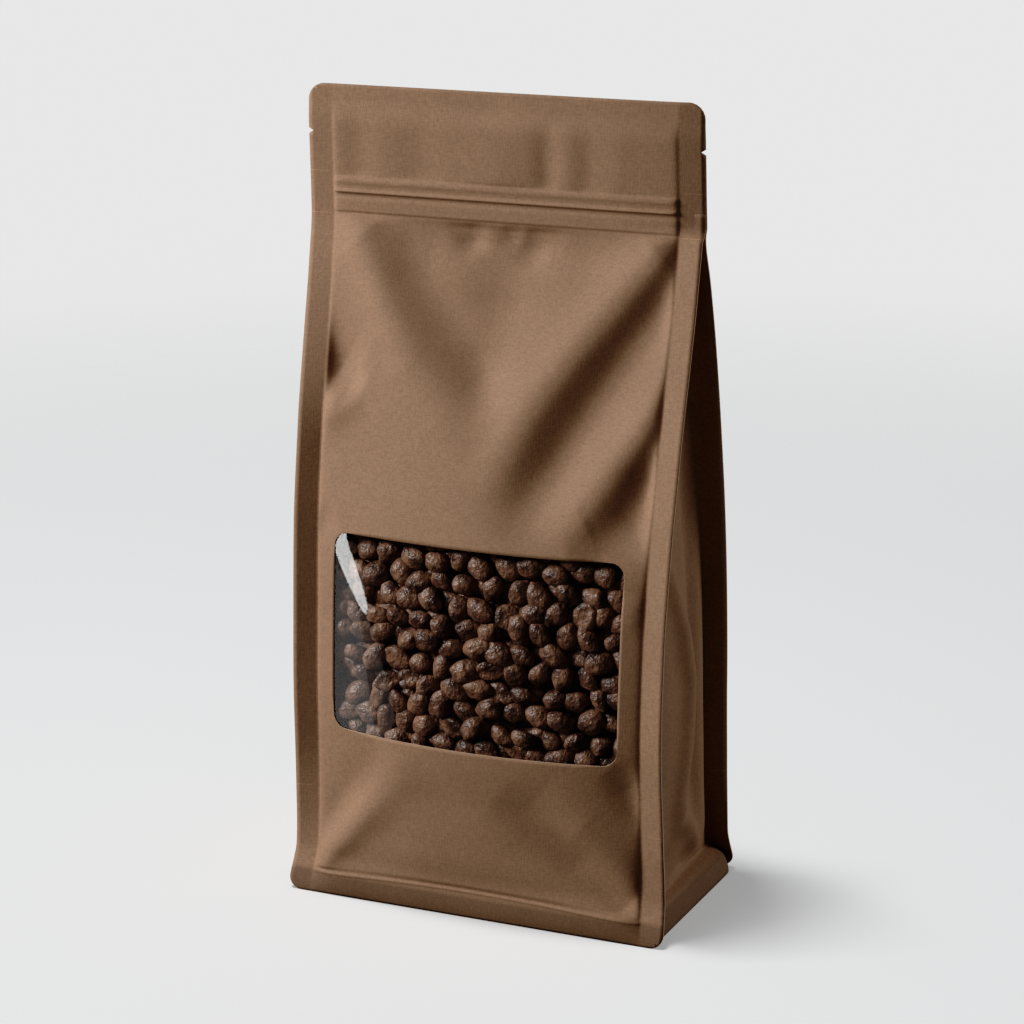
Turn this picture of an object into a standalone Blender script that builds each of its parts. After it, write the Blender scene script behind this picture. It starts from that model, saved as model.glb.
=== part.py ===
"""Coffee bag: a shut, flat-bottomed side-gusset pouch of kraft paper with a window onto roasted beans.

The bag stands on the plane z = 0 with its front facing -Y, +X to its right and +Z up, and the origin
is in the middle of the foot. Three solids are made: the pouch, the clear film that closes its window
and the beans that show behind the film. All lengths are in metres.
"""

import math

import bmesh
import bpy

# Driving dimensions
WIDTH = 0.1356  # across the side seals at the foot
DEPTH = 0.0750  # from the front of the foot to its back
HEIGHT = 0.2720
TOP_CORNER = 0.0055  # radius of the header's two corners
FOOT_CORNER = 0.0050  # radius at the ends of the seal round the foot
FOOT_SEAL = 0.0080  # height of that seal, up to the crease above it
HEADER = 0.2310  # height where the gussets end and front and back lie flat together
HEADER_THICKNESS = 0.0016

FIN = 0.0078  # width of the four heat-sealed edges that run up the corners
FIN_THICKNESS = 0.0008
FIN_FLARE = math.radians(14)  # how far the fins turn outwards from the front and the back

WINDOW_WIDTH = 0.1010
WINDOW_HEIGHT = 0.0670
WINDOW_CENTRE = 0.0940  # height of its middle
WINDOW_CORNER = 0.0050
POCKET_FLOOR = -0.0140  # how deep the beans behind the window are modelled, as a Y
GAP = 0.0003  # left between pieces that touch
FILM_RECESS = 0.0003  # the film lies behind the paper's outer face
FILM_THICKNESS = 0.0006
BEAN_PITCH = 0.0088  # from one bean to the next
BEAN_RELIEF = 0.0030  # depth of the hollows between them

ZIP_RIDGES = ((0.2374, 0.0009), (0.2420, 0.0005))  # height and relief of each line
ZIP_RIDGE_WIDTH = 0.0011
NOTCH_HEIGHT = 0.2565
NOTCH_SIZE = 0.0016

# Curves up the bag, as (height, value). Heights between them are read off a smooth line.
TIP_X = ((0, WIDTH / 2), (0.012, 0.0668), (0.080, 0.0655), (0.160, 0.0669), (HEADER, 0.0678), (HEIGHT, 0.0673))
FRONT_TIP_Y = (
    (0, -DEPTH / 2),
    (0.016, -0.0328),
    (0.070, -0.0353),
    (0.118, -0.0325),
    (0.166, -0.0243),
    (0.214, -0.0120),
    (HEADER, -0.0092),
    (HEIGHT, -0.0112),
)
BACK_TIP_Y = (
    (0, DEPTH / 2),
    (0.016, 0.0330),
    (0.050, 0.0337),
    (0.094, 0.0313),
    (0.130, 0.0249),
    (0.178, 0.0117),
    (0.214, -0.0009),
    (HEADER, -0.0092 + HEADER_THICKNESS),
    (HEIGHT, -0.0112 + HEADER_THICKNESS),
)
FLARE = ((0, 0), (0.030, 1), (0.150, 1), (0.215, 0), (HEIGHT, 0))
PANEL_BULGE = (
    (0, 0),
    (FOOT_SEAL, 0.0006),
    (0.014, 0.0036),
    (0.060, 0.0080),
    (0.120, 0.0066),
    (0.180, 0.0030),
    (0.222, 0.0006),
    (HEADER, 0),
    (HEIGHT, 0),
)
BACK_FULLNESS = 1.181  # the back has no window and bows out further than the front
GUSSET_OUT = ((0, 0.0030), (FOOT_SEAL, 0.0004), (0.045, 0.0030), (0.095, 0), (0.150, -0.0140), (0.225, -0.0260))

# Soft hollows (+) and puffs (-) of the front: x, height, half-width, half-height, lean, depth
DENTS = (
    (-0.004, 0.205, 0.024, 0.026, 0, 0.0022),
    (0.040, 0.178, 0.011, 0.034, math.radians(-38), 0.0042),
    (0.020, 0.196, 0.009, 0.034, math.radians(-38), -0.0018),
    (-0.052, 0.172, 0.009, 0.010, 0, 0.0022),
)

FRONT_COLUMNS = 20
BACK_COLUMNS = 12
GUSSET_COLUMNS = 8

FOOT_LEVELS = (0, 0.0012, 0.0030, 0.0055, FOOT_SEAL, 0.0100, 0.0140, 0.0210)
BODY_ROWS = 19
ZIP_STEP = ZIP_RIDGE_WIDTH * 0.8


def smooth_line(stations, height):
    """The value at a height on a smooth line through (height, value) stations."""
    if height >= stations[-1][0]:
        return stations[-1][1]
    after = next(i for i in range(1, len(stations)) if height < stations[i][0])

    def slope(i):
        if i in (0, len(stations) - 1):
            return 0
        below = (stations[i][1] - stations[i - 1][1]) / (stations[i][0] - stations[i - 1][0])
        above = (stations[i + 1][1] - stations[i][1]) / (stations[i + 1][0] - stations[i][0])
        return 0 if below * above <= 0 else 2 * below * above / (below + above)

    (low, start), (high, end) = stations[after - 1], stations[after]
    run = high - low
    t = (height - low) / run
    return (
        start * (1 + 2 * t) * (1 - t) ** 2
        + end * (3 - 2 * t) * t**2
        + run * (slope(after - 1) * t * (1 - t) ** 2 - slope(after) * t**2 * (1 - t))
    )


def corner_round(distance, radius):
    """How far a rounded corner pulls an edge in, at a distance from the corner along the other edge."""
    if distance >= radius:
        return 0
    return radius - math.sqrt(radius**2 - (radius - distance) ** 2)


def dent_depth(x, height):
    """How far the named hollows push the front in at one place."""
    total = 0
    for centre_x, centre_z, half_width, half_height, lean, depth in DENTS:
        across = (x - centre_x) * math.cos(lean) + (height - centre_z) * math.sin(lean)
        along = (height - centre_z) * math.cos(lean) - (x - centre_x) * math.sin(lean)
        total += depth * math.exp(-((across / half_width) ** 2) - (along / half_height) ** 2)
    return total


def fin(height, back=False):
    """(tip x, tip y, seam x, seam y) of the front's or the back's fin at one height, on the +X side."""
    tip_x = smooth_line(TIP_X, height)
    tip_y = smooth_line(BACK_TIP_Y if back else FRONT_TIP_Y, height)
    angle = FIN_FLARE * smooth_line(FLARE, height)
    outwards = -1 if back else 1
    return tip_x, tip_y, tip_x - FIN * math.cos(angle), tip_y + outwards * FIN * math.sin(angle)


def front_y(x, height):
    """Y of the front panel's outer face."""
    _, _, seam_x, seam_y = fin(height)
    across = min(abs(x) / seam_x, 1)
    bulge = smooth_line(PANEL_BULGE, height) * (1 - across**2)
    relief = sum(rise * math.exp(-(((height - at) / ZIP_RIDGE_WIDTH) ** 2)) for at, rise in ZIP_RIDGES)
    return seam_y - bulge - relief + dent_depth(x, height) * (1 - across**4)


def back_y(x, height):
    _, _, seam_x, seam_y = fin(height, back=True)
    across = min(abs(x) / seam_x, 1)
    return seam_y + BACK_FULLNESS * smooth_line(PANEL_BULGE, height) * (1 - across**2)


def gusset_chain(height):
    """The bag's +X side at one height, from the front fin's tip to the back fin's: fin, gusset, fin."""
    tip_x, front_tip, seam_x, front_seam = fin(height)
    _, back_tip, _, back_seam = fin(height, back=True)
    start = front_seam + FIN_THICKNESS
    end = back_seam - FIN_THICKNESS
    open_side = [(tip_x, front_tip), (tip_x, front_tip + FIN_THICKNESS)]
    for step in range(GUSSET_COLUMNS + 1):
        along = step / GUSSET_COLUMNS
        fold = 1 - abs(2 * along - 1) ** 1.5
        open_side.append((seam_x + smooth_line(GUSSET_OUT, height) * fold, start + (end - start) * along))
    open_side += [(tip_x, back_tip - FIN_THICKNESS), (tip_x, back_tip)]
    if height < HEADER:
        return open_side
    last = len(open_side) - 1
    return [(tip_x, front_tip + (back_tip - front_tip) * i / last) for i in range(last + 1)]


def ring(height):
    """The bag's outline at one height, anticlockwise from above, starting at the front left fin's tip."""
    seam_x = fin(height)[2]
    side = gusset_chain(height)
    front = [seam_x * (2 * i / FRONT_COLUMNS - 1) for i in range(FRONT_COLUMNS + 1)]
    back = [seam_x * (1 - 2 * i / BACK_COLUMNS) for i in range(BACK_COLUMNS + 1)]
    points = [(x, front_y(x, height)) for x in front]
    points += side
    points += [(x, back_y(x, height)) for x in back]
    points += [(-x, y) for x, y in reversed(side)]

    tip_x = side[0][0]
    at_top = 1 - corner_round(HEIGHT - height, TOP_CORNER) / tip_x
    at_foot = tip_x - corner_round(height, FOOT_CORNER)
    return [(max(-at_foot, min(at_foot, x * at_top)), y, height) for x, y in points]


def levels():
    """Heights of the outlines, close together at the foot, the zip and the rounded top."""
    heights = list(FOOT_LEVELS)
    gusset_end = HEADER - 0.0025
    heights += [FOOT_LEVELS[-1] + (gusset_end - FOOT_LEVELS[-1]) * (i + 1) / BODY_ROWS for i in range(BODY_ROWS)]
    heights.append(HEADER)
    zip_rows = round((ZIP_RIDGES[1][0] - ZIP_RIDGES[0][0]) / ZIP_STEP) + 5
    heights += [ZIP_RIDGES[0][0] + ZIP_STEP * (i - 2) for i in range(zip_rows)]
    heights += [NOTCH_HEIGHT - 0.004, NOTCH_HEIGHT + 0.004]
    corner_steps = 5
    for step in range(corner_steps + 1):
        turn = math.pi / 2 * step / corner_steps
        heights.append(HEIGHT - TOP_CORNER * (1 - math.sin(turn)))
    return heights


def new_object(name, shape, collection):
    """An object at the origin that holds a finished bmesh."""
    mesh = bpy.data.meshes.new(name)
    shape.to_mesh(mesh)
    shape.free()
    made = bpy.data.objects.new(name, mesh)
    collection.objects.link(made)
    return made


def paint(made, colour, roughness):
    material = bpy.data.materials.new(made.name)
    material.use_nodes = True
    shader = material.node_tree.nodes["Principled BSDF"]
    shader.inputs["Base Color"].default_value = (*colour, 1)
    shader.inputs["Roughness"].default_value = roughness
    shader.inputs["Metallic"].default_value = 0
    made.data.materials.append(material)


def lofted_pouch(collection):
    """The pouch as one loft from the foot to the header, closed by a flat face at each end."""
    shape = bmesh.new()
    rings = [[shape.verts.new(point) for point in ring(height)] for height in levels()]
    count = len(rings[0])
    for low, high in zip(rings, rings[1:]):
        for i in range(count):
            j = (i + 1) % count
            shape.faces.new((low[i], low[j], high[j], high[i]))
    shape.faces.new(reversed(rings[0]))
    shape.faces.new(rings[-1])
    bmesh.ops.recalc_face_normals(shape, faces=shape.faces)
    return new_object("pouch", shape, collection)


def rounded_window(name, inset, collection):
    """A block with the window's rounded outline, from in front of the bag back to the pocket's floor."""
    shape = bmesh.new()
    bmesh.ops.create_grid(shape, x_segments=1, y_segments=1, size=0.5)
    for vert in shape.verts:
        vert.co = (
            2 * vert.co.x * (WINDOW_WIDTH / 2 - inset),
            -DEPTH,
            WINDOW_CENTRE + 2 * vert.co.y * (WINDOW_HEIGHT / 2 - inset),
        )
    bmesh.ops.bevel(
        shape,
        geom=shape.verts[:],
        offset=WINDOW_CORNER - inset,
        segments=6,
        profile=0.5,
        affect="VERTICES",
        material=-1,
    )
    made = bmesh.ops.extrude_face_region(shape, geom=shape.faces[:])
    back = [item for item in made["geom"] if isinstance(item, bmesh.types.BMVert)]
    bmesh.ops.translate(shape, verts=back, vec=(0, DEPTH + POCKET_FLOOR - inset, 0))
    bmesh.ops.recalc_face_normals(shape, faces=shape.faces)
    block = new_object(name, shape, collection)
    block.hide_render = True
    block.display_type = "WIRE"
    return block


def tear_notch(side, collection):
    """A three-sided prism that nicks the header's edge, pointing inwards."""
    shape = bmesh.new()
    bmesh.ops.create_cone(
        shape, cap_ends=True, segments=3, radius1=NOTCH_SIZE, radius2=NOTCH_SIZE, depth=8 * HEADER_THICKNESS
    )
    tip_x = smooth_line(TIP_X, NOTCH_HEIGHT)
    for vert in shape.verts:
        across, up, through = vert.co
        vert.co = (side * (tip_x + NOTCH_SIZE / 4 - up), through - 0.0100, NOTCH_HEIGHT + across)
    bmesh.ops.recalc_face_normals(shape, faces=shape.faces)
    notch = new_object(f"notch_cutter_{'right' if side > 0 else 'left'}", shape, collection)
    notch.hide_render = True
    notch.display_type = "WIRE"
    return notch


def slab(name, columns, rows, front, back, collection):
    """A slab a little larger than the window, whose front and back faces follow two functions of x and z."""
    margin = 0.002
    shape = bmesh.new()
    bmesh.ops.create_grid(shape, x_segments=columns, y_segments=rows, size=0.5)
    for vert in shape.verts:
        x = vert.co.x * (WINDOW_WIDTH + margin)
        z = WINDOW_CENTRE + vert.co.y * (WINDOW_HEIGHT + margin)
        vert.co = (x, front(x, z), z)
    made = bmesh.ops.extrude_face_region(shape, geom=shape.faces[:])
    for item in made["geom"]:
        if isinstance(item, bmesh.types.BMVert):
            item.co.y = back(item.co.x, item.co.z)
    bmesh.ops.recalc_face_normals(shape, faces=shape.faces)
    return new_object(name, shape, collection)


def bean_relief(x, z):
    """Rounded lumps in staggered rows, 0 on top of a lump and 1 in the hollows."""
    row = z / (BEAN_PITCH * 0.8)
    shift = math.pi / 2 * math.sin(2.1 * row)
    across = math.cos(math.pi * x / BEAN_PITCH + shift)
    up = math.cos(math.pi * row + 0.6 * math.sin(90 * x))
    return 1 - math.sqrt(across**2 * up**2)


def boolean(made, operation, other):
    modifier = made.modifiers.new(other.name, "BOOLEAN")
    modifier.operation = operation
    modifier.object = other


for old in list(bpy.data.objects):
    bpy.data.objects.remove(old, do_unlink=True)

bag = bpy.data.collections.new("coffee_bag")
cutters = bpy.data.collections.new("cutters")
for group in (bag, cutters):
    bpy.context.scene.collection.children.link(group)

pouch = lofted_pouch(bag)
paint(pouch, (0.296, 0.178, 0.117), 0.8)
boolean(pouch, "DIFFERENCE", rounded_window("window_cutter", 0, cutters))
for side in (-1, 1):
    boolean(pouch, "DIFFERENCE", tear_notch(side, cutters))

window_inside = rounded_window("window_inside", GAP, cutters)

film_back = FILM_RECESS + FILM_THICKNESS
film = slab(
    "window_film",
    24,
    14,
    lambda x, z: front_y(x, z) + FILM_RECESS,
    lambda x, z: front_y(x, z) + film_back,
    bag,
)
paint(film, (0.80, 0.80, 0.80), 0.08)
boolean(film, "INTERSECT", window_inside)

beans = slab(
    "coffee_beans",
    46,
    34,
    lambda x, z: front_y(x, z) + film_back + GAP + BEAN_RELIEF * bean_relief(x, z),
    lambda x, z: 0,
    bag,
)
paint(beans, (0.072, 0.036, 0.023), 0.45)
boolean(beans, "INTERSECT", window_inside)
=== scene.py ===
# %% [markdown]
# # A kraft coffee bag, made from flat sheets
#
# A flat-bottomed coffee bag is not a block. It is cut from flat kraft laminate: a front, a back and two
# sides that fold in, heat-sealed to each other along four upright edges, and a panel across the foot.
# So that is how it is made here: each sheet starts as a flat grid, is trimmed while it is flat, and is
# then formed. The CAD model is loaded first and gives every position that the sheets follow.

import math
import random

import bmesh
import bpy
from mathutils import Euler, Matrix, Vector, noise


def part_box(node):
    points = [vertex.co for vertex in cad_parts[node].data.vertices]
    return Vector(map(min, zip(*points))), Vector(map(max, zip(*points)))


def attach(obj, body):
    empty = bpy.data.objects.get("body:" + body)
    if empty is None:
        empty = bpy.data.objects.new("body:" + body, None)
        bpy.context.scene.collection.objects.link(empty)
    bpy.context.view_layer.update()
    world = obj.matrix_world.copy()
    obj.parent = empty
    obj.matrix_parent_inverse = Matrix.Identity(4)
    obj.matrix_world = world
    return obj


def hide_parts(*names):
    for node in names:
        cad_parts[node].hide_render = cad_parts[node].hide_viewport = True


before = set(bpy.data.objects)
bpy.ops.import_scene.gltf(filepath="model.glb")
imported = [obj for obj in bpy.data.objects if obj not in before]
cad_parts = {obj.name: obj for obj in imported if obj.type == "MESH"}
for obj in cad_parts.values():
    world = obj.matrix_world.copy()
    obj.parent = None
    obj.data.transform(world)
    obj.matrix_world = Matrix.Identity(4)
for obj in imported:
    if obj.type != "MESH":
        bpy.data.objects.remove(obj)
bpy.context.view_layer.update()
MM = 0.001

bag_low, bag_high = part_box("pouch")
film_low, film_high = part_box("window_film")
beans_low, beans_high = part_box("coffee_beans")
HALF_WIDTH = bag_high[0]
TOP = bag_high[2]
print("bag", [round(side / MM, 1) for side in Vector(bag_high) - Vector(bag_low)], "mm")

# %% [markdown]
# ## Reading the side profile off the frame
#
# The sheets have to meet along the sealed edges, so all of them need the same three facts at each
# height: how far out the edge is, where the front edge is and where the back edge is. Slicing a copy of
# the CAD solid with bisect_plane gives them. A monotone cubic through the slices keeps the profile
# smooth, where straight lines between them would show as bands in raking light.

# %% Slice the bag
SLICES = [height * MM for height in (16, 40, 70, 100, 130, 160, 190, 214)]


def slice_bag(height):
    """(tip x, front tip y, back tip y) of the CAD bag at one height."""
    solid = bmesh.new()
    solid.from_mesh(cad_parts["pouch"].data)
    everything = solid.verts[:] + solid.edges[:] + solid.faces[:]
    cut = bmesh.ops.bisect_plane(solid, geom=everything, plane_co=(0, 0, height), plane_no=(0, 0, 1))
    points = [item.co.copy() for item in cut["geom_cut"] if isinstance(item, bmesh.types.BMVert)]
    solid.free()
    tip = max(point.x for point in points)
    at_tip = [point.y for point in points if point.x > tip - 0.3 * MM]
    return tip, min(at_tip), max(at_tip)


def line_through(stations):
    """A function of height that runs smoothly through (height, value) stations."""

    def slope(i):
        if i in (0, len(stations) - 1):
            return 0
        below = (stations[i][1] - stations[i - 1][1]) / (stations[i][0] - stations[i - 1][0])
        above = (stations[i + 1][1] - stations[i][1]) / (stations[i + 1][0] - stations[i][0])
        return 0 if below * above <= 0 else 2 * below * above / (below + above)

    def value(at):
        if at <= stations[0][0]:
            return stations[0][1]
        if at >= stations[-1][0]:
            return stations[-1][1]
        after = next(i for i in range(1, len(stations)) if at < stations[i][0])
        (low, start), (high, end) = stations[after - 1], stations[after]
        run = high - low
        t = (at - low) / run
        return (
            start * (1 + 2 * t) * (1 - t) ** 2
            + end * (3 - 2 * t) * t**2
            + run * (slope(after - 1) * t * (1 - t) ** 2 - slope(after) * t**2 * (1 - t))
        )

    return value


def in_mm(stations):
    return line_through([(height * MM, value * MM) for height, value in stations])


HEADER = 231 * MM  # where the folded sides end and front and back lie flat together
foot_slice = slice_bag(0.3 * MM)
slices = [(0, (HALF_WIDTH, foot_slice[1], foot_slice[2]))]
slices += [(height, slice_bag(height)) for height in SLICES + [HEADER, 250 * MM, TOP - 6 * MM]]
tip_x = line_through([(height, values[0]) for height, values in slices])
front_tip = line_through([(height, values[1]) for height, values in slices])
back_tip = line_through([(height, values[2]) for height, values in slices])
for height in (20, 120, 220):
    print(height, "mm up:", [round(line(height * MM) / MM, 1) for line in (tip_x, front_tip, back_tip)])

# %% [markdown]
# ## The edges that are sealed
#
# Front and side are welded together in a strip about 8 mm wide, a fin, at each upright corner. On a
# filled bag the fins don't stay in the plane of the front: the left one turns forward by up to 29
# degrees in the middle of the bag, and the right one by about half as much. In the header, above the
# folded sides, the right end curls back a little. One line for each fin gives its turn at every height.
# At the mouth the front and the back are welded together, so both are led to one line there.

# %% Fins
FIN = 8.2 * MM
PAPER = 0.28 * MM  # kraft laminate
SKIN_GAP = 0.04 * MM  # between welded sheets, so that their faces don't coincide


def turns(*stations):
    """A fin's turn out of the front's plane, from (height in mm, degrees) stations."""
    return line_through([(height * MM, math.radians(turn)) for height, turn in stations])


FRONT_TURN = {
    -1: turns((12, 0), (26, 7), (60, 20), (100, 27), (150, 29), (185, 15), (226, 3)),
    1: turns((12, 0), (30, 8), (60, 14), (110, 15), (160, 15), (205, 10), (228, 7), (231.5, -9), (272, -8)),
}
BACK_TURN = {
    -1: turns((12, 0), (40, 14), (150, 14), (228, -3)),
    1: turns((12, 0), (40, 14), (150, 14), (225, 4), (231.5, 8), (272, 7)),
}
FRONT_LIFT = turns((12, 0), (26, 7.5), (60, 15), (145, 17), (185, 11), (226, 0))
BACK_LIFT = turns((12, 0), (40, 14), (150, 14), (225, 0))


def seam_x(height):
    return tip_x(height) - FIN


def front_seam(height):
    """Y of the front sheet at its two seams: the same on both sides, though the fins turn differently."""
    return front_tip(height) + FIN * math.sin(FRONT_LIFT(height))


def back_seam(height):
    return back_tip(height) - FIN * math.sin(BACK_LIFT(height))


SEAM = HALF_WIDTH - FIN
CURL_START = 34 * MM
CURL = 0.8 * MM  # how far the header's right seam is bent back


def step(value, edge, softness):
    """0 below an edge and 1 above it."""
    t = min(max((value - edge) / softness + 0.5, 0), 1)
    return t * t * (3 - 2 * t)


def header_curl(x, height):
    past = (x - CURL_START) / (SEAM - CURL_START)
    return CURL * past**2 * step(height, HEADER, 4 * MM) if past > 0 else 0


MOUTH_WELD = 9 * MM


def mouth(x, y, height, outwards):
    """Y of a sheet near the mouth, where both run together. Outwards is -1 for the front, 1 for the back."""
    middle = (front_tip(height) + back_tip(height)) / 2 + header_curl(x, height)
    welded = middle + outwards * (PAPER + SKIN_GAP)
    return y + (welded - y) * step(height, TOP - MOUTH_WELD, 8 * MM)


# %% [markdown]
# ## How the front bulges and folds
#
# Beans fill the lower two thirds of the bag and push the front out. Above them the paper is slack, and
# it folds along lines that run in from the corners under the zip. Each fold is written as a polyline of
# places, each with a half-width and a rise in millimetres, the way a maker would describe it, and each
# can be changed on its own. Across the line the rise falls off as a rounded tent, because folded paper
# has a crest and nearly straight flanks, unlike cloth.

# %% Folds of the front
BULGE = in_mm(
    (
        (0, 0), (9.3, 0), (12, 1.0), (16, 2.6), (24, 5.0), (40, 7.6),
        (56, 8.6), (90, 8.2), (128, 6.4), (180, 2.4), (222, 0.3), (231, 0),
    )
)
CREST = 2.4  # how far a crest is rounded

# x, height, half-width, rise, all in millimetres
FRONT_FOLDS = (
    # the left shoulder under the zip and the ridge that runs down from it
    (
        (-55, 229, 4, 1.0), (-49, 223, 6, 3.0), (-39, 204, 7, 3.4),
        (-27, 185, 8, 2.9), (-14, 171, 8, 1.5), (0, 161, 8, 0),
    ),
    # the hollow to the right of that ridge
    ((-37, 228, 3, -0.2), (-28, 213, 6, -1.2), (-15, 196, 6, -1.7), (-3, 180, 5, -1.3), (3, 171, 4, 0)),
    # the right shoulder and its ridge
    (
        (59, 229, 3, 0.4), (54, 224, 5, 2.6), (42, 208, 7, 3.1), (27, 189, 8, 3.1),
        (15, 171, 8, 2.7), (8, 156, 8, 1.8), (4, 141, 7, 0),
    ),
    # the hollow to the right of that ridge
    (
        (61, 216, 4, -1.0), (56, 206, 7, -2.7), (45, 190, 9, -3.8), (35, 173, 9.5, -4.4),
        (26, 156, 9.5, -4.5), (18, 142, 9, -3.2), (14, 128, 8, 0),
    ),
    # the second ridge, and the hollow below it
    ((61, 182, 3.5, 1.4), (54, 170, 5, 2.2), (44, 154, 6, 2.2), (34, 141, 6, 1.2), (26, 132, 6, 0)),
    ((62, 168, 4, -1.2), (58, 152, 8, -4.6), (51, 140, 8, -4.0), (42, 132, 7, -1.8), (32, 129, 6, 0)),
    ((60, 114, 4, 1.0), (54, 111, 4, 0.6), (48, 109, 4, 0)),
    # slack paper under the middle of the zip
    ((6, 228, 18, -0.3), (2, 204, 15, -3.3), (-1, 187, 9, -2.5), (-1, 173, 6, -0.9), (-1, 164, 5, 0)),
    # the paper dips where it leaves the zip's weld
    ((-36, 224, 3, 0), (-24, 222, 5, -1.0), (4, 220, 6, -1.4), (30, 221, 5, -0.9), (44, 224, 3, 0)),
    # the pinch at the left seam, with a bulge under it, and the dent lower down
    ((-61, 184, 9, -3.2), (-54, 180, 8, -3.9), (-49, 177, 5, -2.6), (-44, 175, 3, 0)),
    ((-61, 165, 4, 2.0), (-54, 168, 4, 1.8), (-44, 172, 3, 0)),
    ((-61, 129, 3.5, -1.8), (-55, 131, 3, -0.9), (-50, 133, 3, 0)),
    # creases that run in from the lower corners
    ((-58, 9, 2, 0.5), (-54, 14, 3, 2.0), (-39, 32, 5, 2.3), (-25, 50, 7, 1.0), (-18, 58, 7, 0)),
    ((-57, 18, 2.5, -0.5), (-50, 29, 4, -1.4), (-34, 50, 6, -0.9), (-28, 57, 6, 0)),
    ((58, 8, 2, -0.5), (54, 12, 3.5, -2.2), (38, 25, 5, -2.6), (22, 37, 7, -1.3), (10, 45, 7, 0)),
    ((55, 21, 4, 0.7), (38, 37, 6, 1.4), (24, 47, 8, 0)),
    ((61, 46, 5, -2.0), (54, 53, 4, -1.4), (48, 60, 3.5, 0)),
    # puckers where the zip's weld draws the paper in
    ((-15, 229, 1.8, -0.5), (-12, 223, 2.2, -0.9), (-10, 217, 2.4, 0)),
    ((-9, 229.5, 1.5, -0.6), (-9, 223, 1.9, -0.7), (-9, 219, 2, 0)),
    ((4, 229, 1.5, -0.5), (3, 225, 1.8, -0.6), (3, 221, 2, 0)),
    ((12.5, 229.5, 1.8, -0.6), (11, 222, 2.8, -1.3), (9, 213, 3.2, 0)),
    ((18, 229, 1.6, -0.4), (17, 224, 2.2, -0.5), (16, 219, 2.2, 0)),
)
# upright waves of the header: x, half-width, rise
HEADER_WAVES = (
    (-50, 5, -0.5), (-28, 8, -0.6), (0, 11, 0.7), (15.5, 3.6, -0.7),
    (23, 3.2, 0.3), (30, 3.2, -0.3), (40, 4, 0.2),
)
HEADER_WAVE_TOP = 262 * MM


def fold_rise(x, height, fold):
    """The rise that one fold gives a place: that of the fold's nearest point, less the further away it is."""
    x, height = x / MM, height / MM
    nearest = None
    for (x1, z1, width1, rise1), (x2, z2, width2, rise2) in zip(fold, fold[1:]):
        run_x, run_z = x2 - x1, z2 - z1
        along = ((x - x1) * run_x + (height - z1) * run_z) / (run_x**2 + run_z**2)
        along = min(max(along, 0), 1)
        away = math.hypot(x - x1 - run_x * along, height - z1 - run_z * along)
        if nearest is None or away < nearest[0]:
            nearest = away, width1 + (width2 - width1) * along, rise1 + (rise2 - rise1) * along
    away, width, rise = nearest
    if away > 3.2 * width:
        return 0
    tent = (math.hypot(away, CREST) - CREST) / width
    return rise * MM * math.exp(-(tent**1.5))


def folds_at(x, height, folds):
    return sum(fold_rise(x, height, fold) for fold in folds)


# %% [markdown]
# ## The zip inside the header
#
# The press-to-close zip is two plastic strips welded inside, which can't be seen. They show as a raised
# band with one sharp rib and one soft one, so the band is added to the paper's height between the seams.

# %% Zip relief
ZIP_LOW = 230.4 * MM
ZIP_HIGH = 241.8 * MM
ZIP_RIB = 237.2 * MM
SOFT_RIB = 240.4 * MM


def zip_relief(height):
    band = step(height, ZIP_LOW, 1.0 * MM) * (1 - step(height, ZIP_HIGH, 1.2 * MM))
    rib = math.exp(-(((height - ZIP_RIB) / (0.55 * MM)) ** 2))
    groove = math.exp(-(((height - ZIP_RIB + 1.6 * MM) / (0.9 * MM)) ** 2))
    soft_rib = math.exp(-(((height - SOFT_RIB) / (0.9 * MM)) ** 2))
    return 0.45 * MM * band + 0.7 * MM * rib - 0.25 * MM * groove + 0.25 * MM * soft_rib


def header_relief(x, height):
    fade = step(height, ZIP_HIGH + 0.5 * MM, 3 * MM) * (1 - step(height, HEADER_WAVE_TOP, 26 * MM))
    waves = (
        rise * MM * math.exp(-(((x / MM - centre) / width) ** 2))
        for centre, width, rise in HEADER_WAVES
    )
    return fade * sum(waves)


# %% [markdown]
# ## The weld round the foot
#
# Along the floor the walls are welded to the foot panel in a strip 8 to 9 mm high. The beans press the
# walls out over it, so the strip leans in towards the floor, and its upper edge is a creased lip that
# catches the light. The lip runs on over the fins, and climbs there towards their tips.

# %% Foot lip
FOOT_LEAN = 2.8 * MM  # how far the lip stands in front of the line between the corners
LIP = 0.3 * MM
LIP_AT_SEAM = 7.4 * MM
LIP_ARCH = 1.9 * MM  # how much higher it runs in the middle


def lip_height(across):
    """The lip's height: across runs from 0 in the middle to 1 at the seam, and past 1 on the fin."""
    if across > 1:
        return LIP_AT_SEAM + (across - 1) * SEAM * 0.45
    return LIP_AT_SEAM + LIP_ARCH * (1 - across**2)


def foot_forward(across, height):
    """How far the welded strip and its lip stand out from the straight line between two corners."""
    lip_at = lip_height(across)
    lean = FOOT_LEAN * (1 - min(across, 1) ** 12)
    strip = lean * min(height / lip_at, 1) * (1 - step(height, 26 * MM, 34 * MM))
    lip = LIP * math.exp(-(((height - lip_at) / (0.5 * MM)) ** 2))
    return strip + (lip if across < 1 else 0.4 * lip)


def seam_hold(x, height):
    """How free the paper is to fold: not at all where it is welded at a seam or under the zip."""
    beside_seam = 1 - math.exp(-(seam_x(height) - abs(x)) / (2.2 * MM))
    return beside_seam * (1 - step(height, ZIP_LOW - 1.5 * MM, 3 * MM))


# %% The front's outer face
PILLOW = 0.5 * MM  # the paper steps up from the weld
EDGE_ROUND = 0.8 * MM  # how soon it has stepped up, beside a seam
LIP_CLEARANCE = 1.4 * MM
FOLDS_START = 8 * MM


def clear_of_seam(x, seam):
    return 1 - math.exp(-(seam - abs(x)) / EDGE_ROUND)


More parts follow.
